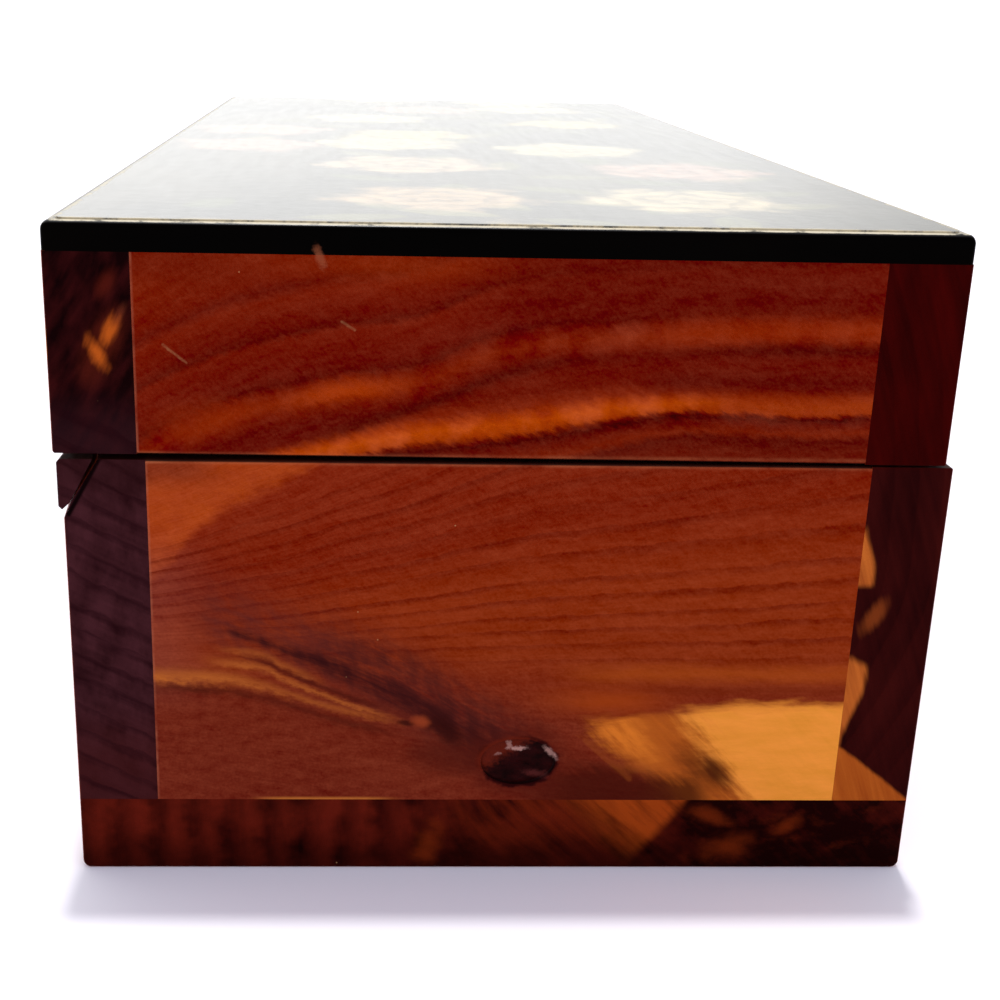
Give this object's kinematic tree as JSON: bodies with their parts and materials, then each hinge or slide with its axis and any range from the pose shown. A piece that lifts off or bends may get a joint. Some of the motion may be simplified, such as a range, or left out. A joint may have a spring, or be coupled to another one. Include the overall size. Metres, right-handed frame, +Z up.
{
  "type": "cedar keepsake box",
  "caption": "Long low keepsake box of solid cedar boards with a hinged lid, a thin black-edged top panel under a varnished floral print, and a split back corner.",
  "frame": {"origin": "middle of the bottom board's underside", "axes": "+X along the length to the right end, +Y to the back, where the hinges are, +Z up; the split corner and the knot hole are at the -X end"},
  "size_m": [0.238, 0.1039, 0.0796],
  "materials": {
    "cedar": "satin varnish, worn",
    "black_lacquer": "black lacquer, rubbed through at the edges",
    "varnished_print": "printed paper under gloss varnish",
    "brass": "dull, aged",
    "steel": "dull"
  },
  "bodies": {
    "base": {"base_bottom_board": "cedar", "base_front_board": "cedar", "base_back_board": "cedar", "base_left_end": "cedar", "base_right_end": "cedar", "hinge_left_base_leaf": "brass", "hinge_left_pin": "brass", "hinge_right_base_leaf": "brass", "hinge_right_pin": "brass", "hinge_base_screws": "brass", "base_corner_brads": "steel", "bottom_brads": "steel"},
    "lid": {"lid_front_board": "cedar", "lid_back_board": "cedar", "lid_left_end": "cedar", "lid_right_end": "cedar", "lid_top_panel": "black_lacquer", "lid_print_sheet": "varnished_print", "hinge_left_lid_leaf": "brass", "hinge_right_lid_leaf": "brass", "hinge_lid_screws": "brass", "lid_corner_brads": "steel"}
  },
  "joints": [
    {"name": "lid_hinge", "type": "hinge", "parent": "base", "child": "lid", "pos_m": [0, 0.05135, 0.0531], "axis": [-1, 0, 0], "range_deg": [0, 110]}
  ]
}
